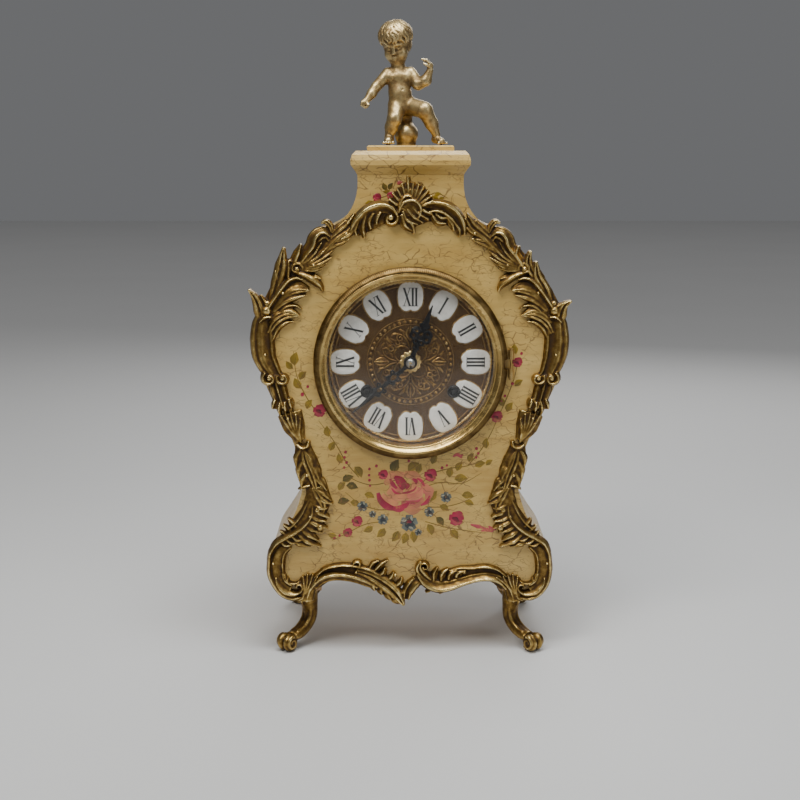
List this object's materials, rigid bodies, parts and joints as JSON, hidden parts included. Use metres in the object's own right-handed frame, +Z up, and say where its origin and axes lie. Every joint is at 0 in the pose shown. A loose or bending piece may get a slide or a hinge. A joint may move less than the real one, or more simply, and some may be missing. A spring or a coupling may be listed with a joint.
{
  "type": "mantel clock",
  "caption": "Waisted mantel clock: lacquered wooden case, cast gilt mounts and seated figure, hinged glazed bezel, plaque dial, pendulum movement with bell strike.",
  "frame": {"origin": "centre of the footprint at the plane the feet stand on", "axes": "+Z up, the dial faces -Y, +X to the viewer's right when facing the dial"},
  "size_m": [0.208, 0.1238, 0.4146],
  "materials": {
    "lacquered_wood": "cream crackle lacquer with painted flowers",
    "bare_wood": "plain beech, oiled",
    "gilt_brass": "antique gilt, dark in the recesses",
    "gilt_bronze": "antique bronze gilt, satin",
    "polished_brass": "turned and lacquered",
    "embossed_brass": "embossed sheet, brown patina",
    "enamel": "vitreous enamel, gloss",
    "clear_glass": "domed clear glass",
    "black_steel": "black, semi-gloss",
    "steel": "blued or bright steel",
    "clock_brass": "satin",
    "bell_metal": "nickelled bell metal"
  },
  "bodies": {
    "case": {"front_panel": "lacquered_wood", "side_panel_left": "lacquered_wood", "side_panel_right": "lacquered_wood", "base_board": "bare_wood", "hood": "lacquered_wood", "cap_moulding": "lacquered_wood", "back_panel": "lacquered_wood", "hinge_leaves_fixed": "polished_brass", "hinge_pins": "polished_brass", "crest_mount": "gilt_brass", "shoulder_mount_left": "gilt_brass", "shoulder_mount_right": "gilt_brass", "side_mount_left": "gilt_brass", "side_mount_right": "gilt_brass", "corner_mount_left": "gilt_brass", "corner_mount_right": "gilt_brass", "apron_mount": "gilt_brass", "front_foot_left": "gilt_brass", "front_foot_right": "gilt_brass", "back_feet": "gilt_brass", "mount_pins": "gilt_brass", "cherub_figure": "gilt_bronze", "dial_ring": "polished_brass", "dial_plate": "embossed_brass", "numeral_plaques": "enamel", "front_plate": "clock_brass", "back_plate": "clock_brass", "plate_pillars": "clock_brass", "movement_brackets": "steel", "pendulum_cock": "clock_brass", "bell": "bell_metal", "mainsprings": "steel"},
    "bezel": {"bezel_ring": "polished_brass", "bezel_glass": "clear_glass", "glass_retainer": "polished_brass"},
    "back_door": {"back_door": "bare_wood", "hinge_leaves_moving": "polished_brass"},
    "door_catch": {"door_catch": "polished_brass"},
    "minute_hand": {"minute_hand": "black_steel", "hand_nut": "steel", "cannon_pinion": "clock_brass"},
    "minute_wheel": {"minute_wheel": "clock_brass"},
    "hour_hand": {"hour_hand": "black_steel", "hour_wheel": "clock_brass"},
    "escape_wheel": {"escape_wheel": "clock_brass"},
    "third_wheel": {"third_wheel": "clock_brass"},
    "centre_arbor": {"centre_arbor": "clock_brass"},
    "intermediate_wheel": {"intermediate_wheel": "clock_brass"},
    "time_barrel": {"time_barrel": "clock_brass"},
    "time_winding_arbor": {"time_winding_arbor": "steel"},
    "time_click": {"time_click": "steel"},
    "pendulum": {"pendulum": "clock_brass"},
    "pallets": {"pallets": "steel"},
    "strike_barrel": {"strike_barrel": "clock_brass"},
    "strike_winding_arbor": {"strike_winding_arbor": "steel"},
    "strike_click": {"strike_click": "steel"},
    "strike_pin_wheel": {"strike_pin_wheel": "clock_brass"},
    "strike_warning_wheel": {"strike_warning_wheel": "clock_brass"},
    "fly": {"fly": "clock_brass"},
    "hammer": {"hammer": "steel"}
  },
  "joints": [
    {"name": "bezel_swing", "type": "hinge", "parent": "case", "child": "bezel", "pos_m": [0.0652, -0.0504, 0.194], "axis": [0, 0, 1], "range_deg": [0, 110]},
    {"name": "back_door_swing", "type": "hinge", "parent": "case", "child": "back_door", "pos_m": [0.046, 0.0492, 0.164], "axis": [0, 0, -1], "range_deg": [0, 110]},
    {"name": "door_catch_turn", "type": "hinge", "parent": "case", "child": "door_catch", "pos_m": [-0.05, 0.048, 0.164], "axis": [0, 1, 0], "range_deg": [0, 90]},
    {"name": "minute_hand_turn", "type": "hinge", "parent": "case", "child": "minute_hand", "pos_m": [0, -0.045, 0.194], "axis": [0, 1, 0], "continuous": true},
    {"name": "minute_wheel_turn", "type": "hinge", "parent": "case", "child": "minute_wheel", "pos_m": [0, -0.034, 0.206], "axis": [0, 1, 0], "continuous": true},
    {"name": "hour_hand_turn", "type": "hinge", "parent": "case", "child": "hour_hand", "pos_m": [0, -0.043, 0.194], "axis": [0, 1, 0], "continuous": true},
    {"name": "escape_wheel_turn", "type": "hinge", "parent": "case", "child": "escape_wheel", "pos_m": [0, -0.012, 0.22221], "axis": [0, 1, 0], "continuous": true},
    {"name": "third_wheel_turn", "type": "hinge", "parent": "case", "child": "third_wheel", "pos_m": [-0.00884, -0.012, 0.20931], "axis": [0, 1, 0], "continuous": true},
    {"name": "centre_arbor_turn", "type": "hinge", "parent": "case", "child": "centre_arbor", "pos_m": [0, -0.02, 0.194], "axis": [0, 1, 0], "continuous": true},
    {"name": "intermediate_wheel_turn", "type": "hinge", "parent": "case", "child": "intermediate_wheel", "pos_m": [0.01976, -0.012, 0.2011], "axis": [0, 1, 0], "continuous": true},
    {"name": "time_barrel_turn", "type": "hinge", "parent": "case", "child": "time_barrel", "pos_m": [0.0285, -0.01, 0.1745], "axis": [0, 1, 0], "continuous": true},
    {"name": "time_winding_turn", "type": "hinge", "parent": "case", "child": "time_winding_arbor", "pos_m": [0.0285, -0.02, 0.1745], "axis": [0, 1, 0], "continuous": true},
    {"name": "time_click_lift", "type": "hinge", "parent": "case", "child": "time_click", "pos_m": [0.0415, -0.033, 0.1805], "axis": [0, 1, 0], "range_deg": [0, 8], "stiffness_Nm_per_rad": 0.004, "springref_deg": -5.73},
    {"name": "pendulum_swing", "type": "hinge", "parent": "case", "child": "pendulum", "pos_m": [0, 0.014, 0.23221], "axis": [0, 1, 0], "range_deg": [-4, 4]},
    {"name": "pallet_swing", "type": "hinge", "parent": "case", "child": "pallets", "pos_m": [0, 0, 0.23221], "axis": [0, 1, 0], "range_deg": [-4, 4]},
    {"name": "fly_turn", "type": "hinge", "parent": "case", "child": "fly", "pos_m": [-0.02386, -0.004, 0.22578], "axis": [0, 1, 0], "continuous": true},
    {"name": "warning_wheel_turn", "type": "hinge", "parent": "case", "child": "strike_warning_wheel", "pos_m": [-0.02974, -0.02, 0.2156], "axis": [0, 1, 0], "continuous": true},
    {"name": "pin_wheel_turn", "type": "hinge", "parent": "case", "child": "strike_pin_wheel", "pos_m": [-0.03336, -0.012, 0.20207], "axis": [0, 1, 0], "continuous": true},
    {"name": "strike_barrel_turn", "type": "hinge", "parent": "case", "child": "strike_barrel", "pos_m": [-0.0285, -0.01, 0.1745], "axis": [0, 1, 0], "continuous": true},
    {"name": "strike_winding_turn", "type": "hinge", "parent": "case", "child": "strike_winding_arbor", "pos_m": [-0.0285, -0.02, 0.1745], "axis": [0, 1, 0], "continuous": true},
    {"name": "strike_click_lift", "type": "hinge", "parent": "case", "child": "strike_click", "pos_m": [-0.0415, -0.033, 0.1805], "axis": [0, -1, 0], "range_deg": [0, 8], "stiffness_Nm_per_rad": 0.004, "springref_deg": -5.73},
    {"name": "hammer_swing", "type": "hinge", "parent": "case", "child": "hammer", "pos_m": [-0.045, 0, 0.222], "axis": [0, 1, 0], "range_deg": [0, 12], "stiffness_Nm_per_rad": 0.01, "springref_deg": -5.73}
  ],
  "couplings": [
    {"joint": "minute_wheel_turn", "follows": "minute_hand_turn", "ratio": -0.33333},
    {"joint": "hour_hand_turn", "follows": "minute_hand_turn", "ratio": 0.083333},
    {"joint": "third_wheel_turn", "follows": "escape_wheel_turn", "ratio": -0.095238},
    {"joint": "centre_arbor_turn", "follows": "escape_wheel_turn", "ratio": 0.0079365},
    {"joint": "intermediate_wheel_turn", "follows": "escape_wheel_turn", "ratio": -0.0013228},
    {"joint": "time_barrel_turn", "follows": "escape_wheel_turn", "ratio": 0.00018896},
    {"joint": "pallet_swing", "follows": "pendulum_swing", "ratio": 1},
    {"joint": "warning_wheel_turn", "follows": "fly_turn", "ratio": -0.16667},
    {"joint": "pin_wheel_turn", "follows": "fly_turn", "ratio": 0.027778},
    {"joint": "strike_barrel_turn", "follows": "fly_turn", "ratio": -0.0039683}
  ]
}
